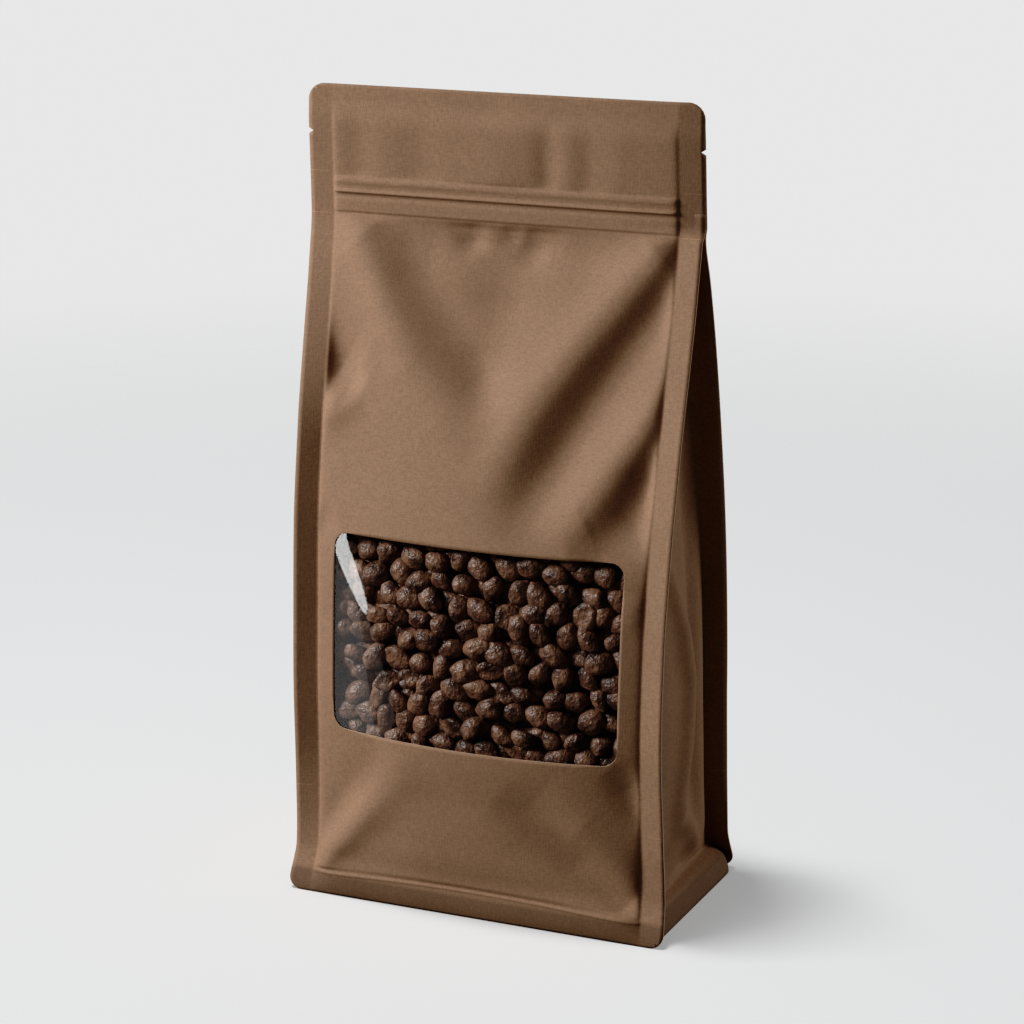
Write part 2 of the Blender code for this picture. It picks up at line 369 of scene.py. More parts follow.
def clear_of_lip(across, height):
    return step(height, lip_height(across) + LIP_CLEARANCE, 2 * MM)


def front_face(x, height):
    """Where a point of the flat front sheet goes, with x across the formed bag."""
    seam = seam_x(height)
    across = abs(x) / seam
    base = front_seam(height) + header_curl(x, height)
    if across >= 1:
        side = 1 if x > 0 else -1
        turn = FRONT_TURN[side](height)
        past = abs(x) - seam
        forward = mouth(x, base, height, -1) - past * math.sin(turn) - foot_forward(across, height)
        return Vector((side * (seam + past * math.cos(turn)), forward, height))
    inside = 1 - across**2
    above_foot = clear_of_lip(across, height)
    edge = clear_of_seam(x, seam)
    relief = PILLOW
    if ZIP_LOW > height > FOLDS_START:
        relief += folds_at(x, height, FRONT_FOLDS) * seam_hold(x, height)
    rise = BULGE(height) * inside + relief * edge * above_foot + foot_forward(across, height)
    rise += (zip_relief(height) + header_relief(x, height)) * edge
    return Vector((x, mouth(x, base - rise, height, -1), height))


# %% [markdown]
# ## A flat sheet, trimmed flat
#
# create_grid gives the sheet and its columns and rows are then moved to where detail is needed: close
# together at the seams, the zip and the foot. The window, the rounded corners and the tear notches are
# cut while the sheet is flat, with bisect_plane along short straight cuts and the scrap deleted, which
# keeps every cut edge clean. Cutting the formed sheet with a Boolean would leave slivers along the
# window that show in its shading.

# %% Rows, columns and cuts
def spaced(*stretches):
    """Places along a line: (end, steps) stretches that start at the first number."""
    places = [stretches[0]]
    for end, steps in stretches[1:]:
        start = places[-1]
        places += [start + (end - start) * (i + 1) / steps for i in range(steps)]
    return places


def flat_sheet(columns, rows):
    """A flat grid in x and z with the given columns and rows."""
    sheet = bmesh.new()
    bmesh.ops.create_grid(sheet, x_segments=len(columns) - 1, y_segments=len(rows) - 1, size=0.5)
    for vert in sheet.verts:
        column = round((vert.co.x + 0.5) * (len(columns) - 1))
        row = round((vert.co.y + 0.5) * (len(rows) - 1))
        vert.co = (columns[column], 0, rows[row])
    return sheet


def cut_along(sheet, point, across, reach):
    """Cuts the flat sheet's faces near a point along the line there that is square to across."""
    near = [face for face in sheet.faces if (face.calc_center_median() - point).length < reach]
    parts = {item for face in near for item in (*face.verts, *face.edges, face)}
    bmesh.ops.bisect_plane(sheet, geom=list(parts), dist=1e-7, plane_co=point, plane_no=across)


def round_corner(sheet, corner, inward, radius, steps=6):
    """Cuts a rounded corner: short cuts along the arc, whose centre is inward from the corner."""
    centre = corner + Vector((inward[0], 0, inward[1])) * radius
    for i in range(steps):
        angle = math.pi / 2 * (i + 0.5) / steps
        out = Vector((-inward[0] * math.cos(angle), 0, -inward[1] * math.sin(angle)))
        cut_along(sheet, centre + out * radius, out, radius * 1.7)


def remove_scrap(sheet, is_scrap):
    scrap = [face for face in sheet.faces if is_scrap(face.calc_center_median())]
    bmesh.ops.delete(sheet, geom=scrap, context="FACES")


WINDOW_CORNER = 5 * MM
GAP = 0.3 * MM  # the CAD film stands this far inside the opening
window_left, window_right = film_low[0] - GAP, film_high[0] + GAP
window_low, window_high = film_low[2] - GAP, film_high[2] + GAP


def beyond_round(point, left, right, low, high, radius):
    """How far a flat point is outside a rounded rectangle, less than 0 inside it."""
    middle = Vector(((left + right) / 2, 0, (low + high) / 2))
    past_x = abs(point.x - middle.x) - (right - left) / 2 + radius
    past_z = abs(point.z - middle.z) - (high - low) / 2 + radius
    return math.hypot(max(past_x, 0), max(past_z, 0)) + min(max(past_x, past_z), 0) - radius


NOTCH = 256.5 * MM
NOTCH_DEPTH = 1.5 * MM
NOTCH_ANGLE = math.radians(32)
TOP_CORNER = 5.5 * MM
FOOT_CORNER = 5 * MM


def trim_outline(sheet, top_radius, foot_radius):
    """Rounds the sheet's four outer corners and nicks its two edges for tearing."""
    for side in (-1, 1):
        round_corner(sheet, Vector((side * HALF_WIDTH, 0, TOP)), (-side, -1), top_radius)
        round_corner(sheet, Vector((side * HALF_WIDTH, 0, 0)), (-side, 1), foot_radius)
    for side in (-1, 1):
        tip = Vector((side * (HALF_WIDTH - NOTCH_DEPTH), 0, NOTCH))
        for slant in (-1, 1):
            across = Vector((side * math.sin(NOTCH_ANGLE), 0, slant * math.cos(NOTCH_ANGLE)))
            cut_along(sheet, tip, across, 6 * MM)

    def is_scrap(point):
        if beyond_round(point, -HALF_WIDTH, HALF_WIDTH, -TOP, TOP, top_radius) > 0:
            return True
        if beyond_round(point, -HALF_WIDTH, HALF_WIDTH, 0, 2 * TOP, foot_radius) > 0:
            return True
        past = abs(point.x) - (HALF_WIDTH - NOTCH_DEPTH)
        return past > 0 and abs(point.z - NOTCH) < past * math.tan(NOTCH_ANGLE)

    remove_scrap(sheet, is_scrap)


# %% [markdown]
# ## Finishing a piece
#
# Every piece ends the same way: the bmesh becomes an object at the origin, is shaded smooth, rides on
# the bag's one body, takes its material and hides the CAD node that it stands for. The sheets
# get their thickness from Solidify, inwards from the outer face, so the bag doesn't grow.

# %% Pieces
bag_pieces = bpy.data.collections.new("bag_pieces")
bpy.context.scene.collection.children.link(bag_pieces)


def finish_piece(name, shape, material, node):
    mesh = bpy.data.meshes.new(name)
    shape.to_mesh(mesh)
    shape.free()
    mesh.shade_smooth()
    mesh.materials.append(material)
    piece = bpy.data.objects.new(name, mesh)
    bag_pieces.objects.link(piece)
    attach(piece, "root")
    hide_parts(node)
    print(name, len(mesh.polygons), "faces")
    return piece


def give_thickness(piece, thickness, offset=-1, cut_edge=None):
    """Gives a sheet its wall. A cut edge can have a finish of its own."""
    wall = piece.modifiers.new("paper", "SOLIDIFY")
    wall.thickness = thickness
    wall.offset = offset
    wall.use_even_offset = False
    if cut_edge:
        piece.data.materials.append(cut_edge)
        wall.material_offset_rim = 1


def form(sheet, place):
    """Moves every point of a flat sheet to its place on the bag."""
    for vert in sheet.verts:
        vert.co = place(vert.co.x, vert.co.z)


def face_outwards(sheet, out):
    """Turns an open sheet's faces so that most of them look outwards."""
    bmesh.ops.recalc_face_normals(sheet, faces=sheet.faces)
    if sum(face.normal.dot(out) for face in sheet.faces) < 0:
        bmesh.ops.reverse_faces(sheet, faces=sheet.faces)


# %% [markdown]
# ## Materials: a helper
#
# One small function adds a node, sets it and links it. Colours are written as sRGB hex values, the way
# they are picked, and turned to the linear numbers that the shader works in.

# %% Colour and node helpers
def srgb(code):
    channels = [int(code[i : i + 2], 16) / 255 for i in (1, 3, 5)]
    return [c / 12.92 if c <= 0.04045 else ((c + 0.055) / 1.055) ** 2.4 for c in channels] + [1]


def add_node(tree, kind, settings=None, **links):
    """Adds a node, sets its properties and plain inputs, and links the inputs that are given as sockets."""
    node = tree.nodes.new(kind)
    for key, value in (settings or {}).items():
        if isinstance(key, int) or key in node.inputs:
            node.inputs[key].default_value = value
        else:
            setattr(node, key, value)
    for key, source in links.items():
        tree.links.new(source, node.inputs[int(key[1:]) if key[1:].isdigit() else key.replace("_", " ")])
    return node


def new_material(name):
    material = bpy.data.materials.new(name)
    material.use_nodes = True
    material.node_tree.nodes.clear()
    return material, material.node_tree


# %% [markdown]
# ## Kraft paper
#
# Kraft is unbleached wood pulp, rolled with a faint lay of fibres both ways and laminated to film on
# the inside. The eye sees a matt brown that is never even: threads a few millimetres long and half a
# millimetre wide, slightly lighter and darker, under a slow cloudiness. Stretching two noises along z
# and across it gives the threads on all four walls at once, because both read Object coordinates.

# %% Kraft material
KRAFT = "#997A63"
FOOT_PAINTED_SHADE = 0.62  # painted shade: the welded strip along the floor is coloured darker, for the shade it lies in low down under the bulging walls
WELD_MARKS = (37 * MM, 229.5 * MM, 243.4 * MM)
MARK_WIDTH = 0.13 * MM  # to either side of its middle
MARK_SHADE = 0.3  # how much paler than the paper
# these are bundles of fibres: a single fibre, a tenth as wide, is too fine to show
FIBRE_WIDTH = 0.42 * MM
FIBRE_LENGTH = 1.9 * MM
CLOUD = 22 * MM


def size_of(tree, vector, axis):
    """How large one component of a vector is, whatever its sign."""
    part = add_node(tree, "ShaderNodeSeparateXYZ", Vector=vector).outputs[axis]
    return add_node(tree, "ShaderNodeMath", {"operation": "ABSOLUTE"}, _0=part).outputs[0]


def weld_marks(tree, place):
    """Hair-thin pale lines across the fins, where one stroke of the sealing bar ends and the next begins."""
    height = size_of(tree, place, "Z")
    lines = None
    for mark in WELD_MARKS:
        at_mark = {"operation": "COMPARE", 1: mark, 2: MARK_WIDTH}
        line = add_node(tree, "ShaderNodeMath", at_mark, _0=height).outputs[0]
        if lines is not None:
            line = add_node(tree, "ShaderNodeMath", {"operation": "ADD"}, _0=lines, _1=line).outputs[0]
        lines = line
    facing = size_of(tree, add_node(tree, "ShaderNodeNewGeometry").outputs["True Normal"], "Y")
    flat = add_node(tree, "ShaderNodeMath", {"operation": "GREATER_THAN", 1: 0.6}, _0=facing).outputs[0]
    past_seam = {"operation": "GREATER_THAN", 1: SEAM + MM}
    outside = add_node(tree, "ShaderNodeMath", past_seam, _0=size_of(tree, place, "X")).outputs[0]
    on_fin = add_node(tree, "ShaderNodeMath", {"operation": "MULTIPLY"}, _0=flat, _1=outside).outputs[0]
    shown = add_node(tree, "ShaderNodeMath", {"operation": "MULTIPLY"}, _0=lines, _1=on_fin).outputs[0]
    return add_node(tree, "ShaderNodeMath", {"operation": "MULTIPLY", 1: MARK_SHADE}, _0=shown).outputs[0]


def kraft_paper():
    material, tree = new_material("kraft_paper_laminate")
    place = add_node(tree, "ShaderNodeTexCoord").outputs["Object"]
    threads = []
    for name, size in (
        ("upright", (FIBRE_WIDTH, FIBRE_WIDTH, FIBRE_LENGTH)),
        ("level", (FIBRE_LENGTH, FIBRE_LENGTH, FIBRE_WIDTH)),
    ):
        stretch = {"Scale": [1 / side for side in size], "label": name}
        scaled = add_node(tree, "ShaderNodeMapping", stretch, Vector=place).outputs[0]
        fibres = add_node(tree, "ShaderNodeTexNoise", {"Scale": 1.0, "Detail": 2.0}, Vector=scaled)
        threads.append(fibres.outputs[0])
    both = add_node(tree, "ShaderNodeMath", {"operation": "ADD"}, _0=threads[0], _1=threads[1]).outputs[0]
    cloud = add_node(tree, "ShaderNodeTexNoise", {"Scale": 1 / CLOUD, "Detail": 3.0}, Vector=place).outputs[0]
    uneven = {"From Min": 0.7, "From Max": 1.3, "To Min": 0.86, "To Max": 1.14}
    shade = add_node(tree, "ShaderNodeMapRange", uneven, Value=both).outputs[0]
    cloudy = {"From Min": 0.3, "From Max": 0.7, "To Min": 0.96, "To Max": 1.04}
    slow = add_node(tree, "ShaderNodeMapRange", cloudy, Value=cloud).outputs[0]
    level = add_node(tree, "ShaderNodeMath", {"operation": "MULTIPLY"}, _0=shade, _1=slow).outputs[0]
    height = add_node(tree, "ShaderNodeSeparateXYZ", Vector=place).outputs["Z"]
    # painted shade: the paper is coloured darker below 8.4 mm, on the welded strip along the floor
    weld = {"From Min": 6.6 * MM, "From Max": 8.4 * MM, "To Min": FOOT_PAINTED_SHADE, "To Max": 1.0}
    painted_foot_shade = add_node(tree, "ShaderNodeMapRange", weld, Value=height).outputs[0]
    level = add_node(tree, "ShaderNodeMath", {"operation": "MULTIPLY"}, _0=level, _1=painted_foot_shade).outputs[0]
    marks = weld_marks(tree, place)
    level = add_node(tree, "ShaderNodeMath", {"operation": "ADD"}, _0=level, _1=marks).outputs[0]
    paper = {"operation": "SCALE", 0: srgb(KRAFT)[:3]}
    colour = add_node(tree, "ShaderNodeVectorMath", paper, Scale=level).outputs[0]
    bump = add_node(tree, "ShaderNodeBump", {"Strength": 0.6, "Distance": 0.07 * MM}, Height=both)
    shader = add_node(
        tree,
        "ShaderNodeBsdfPrincipled",
        {"Roughness": 0.72, "IOR": 1.45, "Specular IOR Level": 0.3},
        Base_Color=colour,
        Normal=bump.outputs[0],
    )
    add_node(tree, "ShaderNodeOutputMaterial", Surface=shader.outputs[0])
    return material


kraft = kraft_paper()

# the core of the sheet that shows where it is cut: bare, paler pulp
cut_pulp, tree = new_material("cut_kraft_pulp")
shader = add_node(tree, "ShaderNodeBsdfPrincipled", {"Base Color": srgb("#C7AE97"), "Roughness": 0.85})
add_node(tree, "ShaderNodeOutputMaterial", Surface=shader.outputs[0])

# %% [markdown]
# ## The front sheet
#
# The window's edges lie exactly on rows and columns, so only its four corners need cutting.

# %% Front sheet
flat_scale = HALF_WIDTH / tip_x((window_low + window_high) / 2)
flat_left, flat_right = window_left * flat_scale, window_right * flat_scale

half_columns = spaced(
    0, (flat_right, 44), (SEAM - 2.4 * MM, 6), (SEAM, 6), (SEAM + 0.6 * MM, 1), (HALF_WIDTH, 5)
)
columns = [-place for place in reversed(half_columns[1:])] + half_columns
rows = spaced(
    0,
    (5 * MM, 5),
    (14 * MM, 27),
    (20 * MM, 8),
    (window_low, 32),
    (window_high, 50),
    (218 * MM, 70),
    (229.2 * MM, 16),
    (243 * MM, 50),
    (TOP - TOP_CORNER, 16),
    (TOP, 6),
)


def place_front(x, height):
    return front_face(x * tip_x(height) / HALF_WIDTH, height)


front = flat_sheet(columns, rows)
trim_outline(front, TOP_CORNER, FOOT_CORNER)
for corner_x, inward_x in ((flat_left, 1), (flat_right, -1)):
    for corner_z, inward_z in ((window_low, 1), (window_high, -1)):
        round_corner(front, Vector((corner_x, 0, corner_z)), (inward_x, inward_z), WINDOW_CORNER)
opening = (flat_left, flat_right, window_low, window_high, WINDOW_CORNER)
remove_scrap(front, lambda at: beyond_round(at, *opening) < 0)
form(front, place_front)
face_outwards(front, Vector((0, -1, 0)))
front_piece = finish_piece("front_sheet", front, kraft, "pouch")
give_thickness(front_piece, PAPER, cut_edge=cut_pulp)

# %% [markdown]
# ## The back sheet
#
# The back has no window and hangs slacker: a full bulge and two long soft folds.

# %% Back sheet
BACK_BULGE = in_mm(
    (
        (0, 0), (9.3, 0), (12, 1.0), (16, 2.6), (24, 5.2), (40, 8.0),
        (54, 9.0), (100, 8.2), (140, 5.5), (190, 2.4), (222, 0.3), (231, 0),
    )
)
BACK_FOLDS = (
    ((58, 226, 3, 0.2), (53, 219, 5, 1.8), (40, 202, 8, 1.8), (28, 186, 9, 0.9), (18, 172, 9, 0)),
    ((-58, 226, 3, 0.2), (-53, 220, 5, 1.9), (-42, 203, 7, 2.2), (-28, 184, 8, 1.4), (-12, 166, 8, 0)),
    ((0, 224, 16, -0.2), (2, 205, 13, -1.5), (1, 186, 8, -1.2), (-2, 172, 8, 0)),
    ((-60, 190, 4, -1.4), (-50, 178, 6, -1.8), (-30, 160, 7, -1.4), (-14, 150, 7, 0)),
    ((60, 166, 5, -2.2), (50, 168, 4, -1.2), (42, 170, 3, 0)),
    ((-60, 138, 4, -1.4), (-48, 130, 5, -0.9), (-36, 124, 6, 0)),
    ((-58, 9, 2, 0.3), (-53, 14, 3, 1.3), (-40, 32, 5, 1.4), (-28, 46, 6, 0)),
    ((58, 9, 2, 0.3), (52, 15, 3, 1.4), (40, 30, 5, 1.3), (24, 46, 7, 0)),
    ((30, 120, 9, -0.2), (22, 98, 10, -0.9), (16, 70, 10, 0)),
)


def place_back(flat_x, height):
    x = flat_x * tip_x(height) / HALF_WIDTH
    seam = seam_x(height)
    across = abs(x) / seam
    base = back_seam(height) + header_curl(x, height)
    if across >= 1:
        side = 1 if x > 0 else -1
        turn = BACK_TURN[side](height)
        past = abs(x) - seam
        lip = foot_forward(across, height) * step(HEADER, height, 9 * MM)
        back = mouth(x, base, height, 1) + past * math.sin(turn) + lip
        return Vector((side * (seam + past * math.cos(turn)), back, height))
    edge = clear_of_seam(x, seam)
    above_foot = clear_of_lip(across, height)
    relief = PILLOW
    if ZIP_LOW > height > FOLDS_START:
        relief += folds_at(x, height, BACK_FOLDS) * seam_hold(x, height)
    rise = BACK_BULGE(height) * (1 - across**2) + relief * edge * above_foot + foot_forward(across, height)
    rise += zip_relief(height) * edge
    back = base + rise - header_relief(x, height) * edge * 0.6
    return Vector((x, mouth(x, back, height, 1), height))


half_columns = spaced(0, (SEAM - 2.4 * MM, 30), (SEAM, 4), (SEAM + 0.6 * MM, 1), (HALF_WIDTH, 4))
back_rows = spaced(
    0,
    (5 * MM, 4),
    (13 * MM, 16),
    (18 * MM, 4),
    (218 * MM, 90),
    (229.4 * MM, 8),
    (243 * MM, 34),
    (TOP - TOP_CORNER, 10),
    (TOP, 6),
)
back = flat_sheet([-place for place in reversed(half_columns[1:])] + half_columns, back_rows)
trim_outline(back, TOP_CORNER, FOOT_CORNER)
form(back, place_back)
face_outwards(back, Vector((0, 1, 0)))
back_piece = finish_piece("back_sheet", back, kraft, "pouch")
give_thickness(back_piece, PAPER, cut_edge=cut_pulp)

# %% [markdown]
# ## The folded sides
#
# Each side is one sheet from fin to fin. Its two edges are welded behind the front's fins and in front
# of the back's. Between them it folds inwards: hardly at all where the beans press it out, and into a
# deep V towards the header, where the bag is flat.

# %% Gussets
FOLD_OUT = in_mm(
    (
        (0, 4.4), (8, 2.6), (9.6, 0.4), (12, 1.2), (22, 3.2), (60, 4.6),
        (95, 3.6), (125, 0.8), (150, -5), (180, -15), (212, -24), (236, -27),
    )
)
FOLD_POWERS = ((7, 24), (12, 6), (60, 3.2), (120, 2.4), (165, 1.15), (230, 1.02))
FOLD_SHARPNESS = line_through([(height * MM, power) for height, power in FOLD_POWERS])
GUSSET_TOP = HEADER + 6 * MM
GUSSET_PANEL = 82 * MM  # flat width between its two fins
SIDE_CORNER = FOOT_CORNER

# y, height, half-width, rise outwards, all in millimetres
SIDE_FOLDS = (
    # the curved crease round the bulged lower part, and the hollow behind it
    (
        (-18, 134, 2.5, 0.6), (-14, 122, 2.6, 2.4), (-4, 98, 3, 3.2), (1, 80, 3, 3.4),
        (-3, 58, 3, 3.3), (-9, 38, 2.6, 3.0), (-12, 30, 3, 0),
    ),
    (
        (13, 168, 4, -1.5), (14, 130, 4.5, -4.6), (14.5, 80, 4.5, -5.6),
        (15, 40, 4, -5.0), (18, 16, 3, -1.2),
    ),
    # the lower triangle, where the side folds over the foot
    ((-10, 38, 2.5, 0.4), (0, 30, 2.6, 2.8), (14, 18, 2.6, 3.0), (25, 10, 2, 0.4)),
    ((-24, 12, 3, -0.5), (-14, 22, 4, -2.6), (-6, 30, 3, 0)),
    ((-10, 15, 5, -0.6), (4, 14, 5, -1.6), (18, 12, 3, 0)),
    ((-28, 100, 3, 0), (-24, 70, 3.5, -0.8), (-22, 40, 3, 0)),
)


def place_side(side, flat, height):
    """A point of one side sheet: flat runs from the front fin's tip to the back fin's tip."""
    seam = seam_x(height)
    gap = 2 * PAPER + SKIN_GAP
    front_y, back_y = front_seam(height) + gap, back_seam(height) - gap
    curl = header_curl(SEAM, height) if side > 0 else 0
    for fin_turn, base, past, out in (
        (FRONT_TURN[side](height), front_y, FIN - flat, -1),
        (BACK_TURN[side](height), back_y, flat - FIN - GUSSET_PANEL, 1),
    ):
        if past > 0:
            shift = past * math.sin(fin_turn) + foot_forward(1 + past / SEAM, height)
            return Vector((side * (seam + past * math.cos(fin_turn)), base + curl + out * shift, height))
    along = (flat - FIN) / GUSSET_PANEL
    y = front_y + (back_y - front_y) * along
    fold = 1 - abs(2 * along - 1) ** FOLD_SHARPNESS(height)
    full = 1 - step(height, 160 * MM, 50 * MM)
    above_foot = step(height, 11 * MM, 3 * MM)
    relief = folds_at(y, height, SIDE_FOLDS) * full * above_foot if full > 0 and above_foot > 0 else 0
    edge = math.sin(math.pi * min(max(along, 0), 1)) ** 0.5
    lip = LIP * math.exp(-(((height - 8 * MM) / (0.6 * MM)) ** 2))
    skirt = 4.2 * MM * along * (1 - step(height, 8 * MM, 4 * MM))
    reach = seam + (FOLD_OUT(height) + skirt) * fold + (relief + lip) * edge
    return Vector((side * reach, y + curl, height))


SIDE_WIDTH = 2 * FIN + GUSSET_PANEL
around = spaced(0, (FIN, 4), (SIDE_WIDTH / 2, 26), (SIDE_WIDTH - FIN, 26), (SIDE_WIDTH, 4))
side_rows = spaced(0, (5 * MM, 4), (13 * MM, 16), (18 * MM, 4), (218 * MM, 100), (GUSSET_TOP, 16))
for side, name in ((-1, "left_gusset"), (1, "right_gusset")):
    gusset = flat_sheet(around, side_rows)
    for corner_x, inward in ((0, 1), (SIDE_WIDTH, -1)):
        round_corner(gusset, Vector((corner_x, 0, 0)), (inward, 1), SIDE_CORNER)
    remove_scrap(gusset, lambda at: beyond_round(at, 0, SIDE_WIDTH, 0, 2 * TOP, SIDE_CORNER) > 0)
    form(gusset, lambda flat, height: place_side(side, flat, height))
    face_outwards(gusset, Vector((side, 0, 0)))
    gusset_piece = finish_piece(name, gusset, kraft, "pouch")
    give_thickness(gusset_piece, PAPER, cut_edge=cut_pulp)

# %% [markdown]
# ## The foot
#
# The panel across the foot is welded inside the skirt that the four walls make, so its edge is turned
# down. The beans press its middle onto the table.

# %% Foot panel
RIM_TOP = 6.8 * MM


def foot_panel():
    panel = bmesh.new()
    bmesh.ops.create_grid(panel, x_segments=44, y_segments=30, size=1)
    top_x, top_y = seam_x(RIM_TOP) - 2 * PAPER, -front_seam(RIM_TOP) - 3 * PAPER
    low_x, low_y = seam_x(0), -front_seam(0) - 3 * PAPER
    for vert in panel.verts:
        edge = max(abs(vert.co.x), abs(vert.co.y))
        lift = step(edge, 0.88, 0.24) * (RIM_TOP - PAPER)
        vert.co = (vert.co.x * top_x, vert.co.y * top_y, PAPER + lift)
    rim = [edge for edge in panel.edges if edge.is_boundary]
    skirt = bmesh.ops.extrude_edge_only(panel, edges=rim)
    turned = [item for item in skirt["geom"] if isinstance(item, bmesh.types.BMVert)]
    bmesh.ops.scale(panel, vec=(low_x / top_x, low_y / top_y, 0), verts=turned)
    bmesh.ops.translate(panel, vec=(0, 0, 0.3 * MM), verts=turned)
    bmesh.ops.recalc_face_normals(panel, faces=panel.faces)
    return panel


foot = finish_piece("foot_panel", foot_panel(), kraft, "pouch")
give_thickness(foot, PAPER, offset=0)

# %% [markdown]
# ## The film
#
# Clear packaging film, a tenth of a millimetre thick, laminated behind the paper. It reflects like any
# plastic, about a twenty-fifth of the light head on and more at a slant, and lets the rest straight
# through, so it is a mix of a clear and a mirror shader by Fresnel. Only the side of a face that looks
# outwards mirrors: from within the plastic, Fresnel turns into total reflection at a slant, which would
# keep the lamps' light off the beans.

# %% Film
def clear_film():
    material, tree = new_material("clear_polypropylene_film")
    clear = add_node(tree, "ShaderNodeBsdfTransparent", {"Color": (0.97, 0.97, 0.97, 1)})
    gloss = add_node(tree, "ShaderNodeBsdfGlossy", {"Roughness": 0.035, "Color": (1, 1, 1, 1)})
    fresnel = add_node(tree, "ShaderNodeFresnel", {"IOR": 1.5}).outputs[0]
    inside = add_node(tree, "ShaderNodeNewGeometry").outputs["Backfacing"]
    outside = add_node(tree, "ShaderNodeMath", {"operation": "SUBTRACT", 0: 1.0}, _1=inside).outputs[0]
    mirrored = add_node(tree, "ShaderNodeMath", {"operation": "MULTIPLY"}, _0=fresnel, _1=outside).outputs[0]
    mixed = add_node(tree, "ShaderNodeMixShader", _0=mirrored, _1=clear.outputs[0], _2=gloss.outputs[0])
    add_node(tree, "ShaderNodeOutputMaterial", Surface=mixed.outputs[0])
    return material


film_material = clear_film()
FILM_MARGIN = 2.5 * MM
FILM_GAP = 0.03 * MM  # behind the paper
FILM_THICKNESS = 0.1 * MM
film_columns = spaced(flat_left - FILM_MARGIN, (flat_right + FILM_MARGIN, 90))
film_rows = spaced(window_low - FILM_MARGIN, (window_high + FILM_MARGIN, 62))
film = flat_sheet(film_columns, film_rows)
form(film, lambda x, z: place_front(x, z) + Vector((0, PAPER + FILM_GAP, 0)))
face_outwards(film, Vector((0, -1, 0)))
film_piece = finish_piece("window_film_sheet", film, film_material, "window_film")
give_thickness(film_piece, FILM_THICKNESS)

# %% [markdown]
# ## Roasted beans
#
# A roasted bean is about 10 mm long, 8 mm wide and 5 mm thick, with a round back, a flat face and a
# crease along it. Dark beans swell unevenly and come out lumpy. One bean is made from a sphere whose
# poles lie on its long axis, so that one meridian can be pushed in as the crease. It starts larger than
# that, because the smoothing at the end takes some off. Every copy gets its own size, lumps and turn
# before it joins the heap. The beans are set out by pitch, not dropped, so neighbours run into each
# other by a millimetre or two. Only two layers are real beans; behind them stands a dark core.

# %% Bean finish
BEAN_SHADES = ("#452F25", "#8E6C58")
LUMP = 2.6 * MM
PATCH = 5 * MM
PUCKER = 1.7 * MM
WRINKLE = 0.55 * MM


def dark_roast():
    """Dark-roasted coffee: nearly black brown, wrinkled, with a thin film of its own oil that glints."""
    material, tree = new_material("dark_roasted_coffee")
    place = add_node(tree, "ShaderNodeTexCoord").outputs["Object"]
    patch = add_node(tree, "ShaderNodeTexNoise", {"Scale": 1 / PATCH, "Detail": 3.0}, Vector=place).outputs[0]
    ramp = add_node(tree, "ShaderNodeMapRange", {"From Min": 0.35, "From Max": 0.65}, Value=patch).outputs[0]
    dark, light = (srgb(shade) for shade in BEAN_SHADES)
    colour = add_node(tree, "ShaderNodeMix", {"data_type": "RGBA", 6: dark, 7: light}, Factor=ramp).outputs[2]
    small = {"Scale": 1 / WRINKLE, "Detail": 2.0}
    wrinkle = add_node(tree, "ShaderNodeTexNoise", small, Vector=place).outputs[0]
    lump = add_node(tree, "ShaderNodeTexNoise", {"Scale": 1 / PUCKER, "Detail": 2.0}, Vector=place).outputs[0]
    deep = {"Strength": 1.0, "Distance": 0.9 * MM}
    coarse = add_node(tree, "ShaderNodeBump", deep, Height=lump).outputs[0]
    shallow = {"Strength": 0.8, "Distance": 0.14 * MM}
    fine = add_node(tree, "ShaderNodeBump", shallow, Height=wrinkle, Normal=coarse)
    shader = add_node(
        tree,
        "ShaderNodeBsdfPrincipled",
        {"Roughness": 0.4, "IOR": 1.47},
        Base_Color=colour,
        Normal=fine.outputs[0],
    )
    add_node(tree, "ShaderNodeOutputMaterial", Surface=shader.outputs[0])
    return material


bean_material = dark_roast()

# %% One bean
BEAN_LENGTH, BEAN_WIDTH, BEAN_THICKNESS = 11.0 * MM, 8.9 * MM, 7.2 * MM


def one_bean():
    """A bean at the origin: long axis along X, round back towards -Y, crease towards +Y."""
    bean = bmesh.new()
    bmesh.ops.create_uvsphere(bean, u_segments=12, v_segments=7, radius=0.5)
    bmesh.ops.rotate(bean, verts=bean.verts, matrix=Matrix.Rotation(math.pi / 2, 3, "Y"))
    for vert in bean.verts:
        x, y, z = vert.co
        crease = y > 0 and abs(z) < 0.05 and abs(x) < 0.42
        flat = 0.62 if y > 0 else 1
        depth = y * flat - (0.2 if crease else 0)
        vert.co = (x * BEAN_LENGTH, depth * BEAN_THICKNESS, z * BEAN_WIDTH)
    return bean


pattern = bpy.data.meshes.new("bean_pattern")
shape = one_bean()
shape.to_mesh(pattern)
shape.free()

# %% The heap
ROW_PITCH, COLUMN_PITCH, LAYER_PITCH = 6.9 * MM, 8.3 * MM, 3.4 * MM
ROWS, COLUMNS, LAYERS = 11, 13, 2
SHOWS_CREASE = 0.12  # the share of beans that lie with their crease outwards
REACH = 50.5 * MM  # the furthest bean from the middle: the next one would meet the side wall
STAND_OFF = 0.6  # the share of a bean's thickness between the film and its middle
LUMPINESS = 0.32
rng = random.Random(11)


def bean_turn():
    """Beans lie flat on the film, long axis nearly level, with their round back or their crease out."""
    flip = math.pi if rng.random() < SHOWS_CREASE else 0
    tilt = Euler((rng.uniform(-0.5, 0.5), rng.gauss(0, 0.7), flip + rng.uniform(-0.4, 0.4)))
    return tilt.to_matrix().to_4x4()


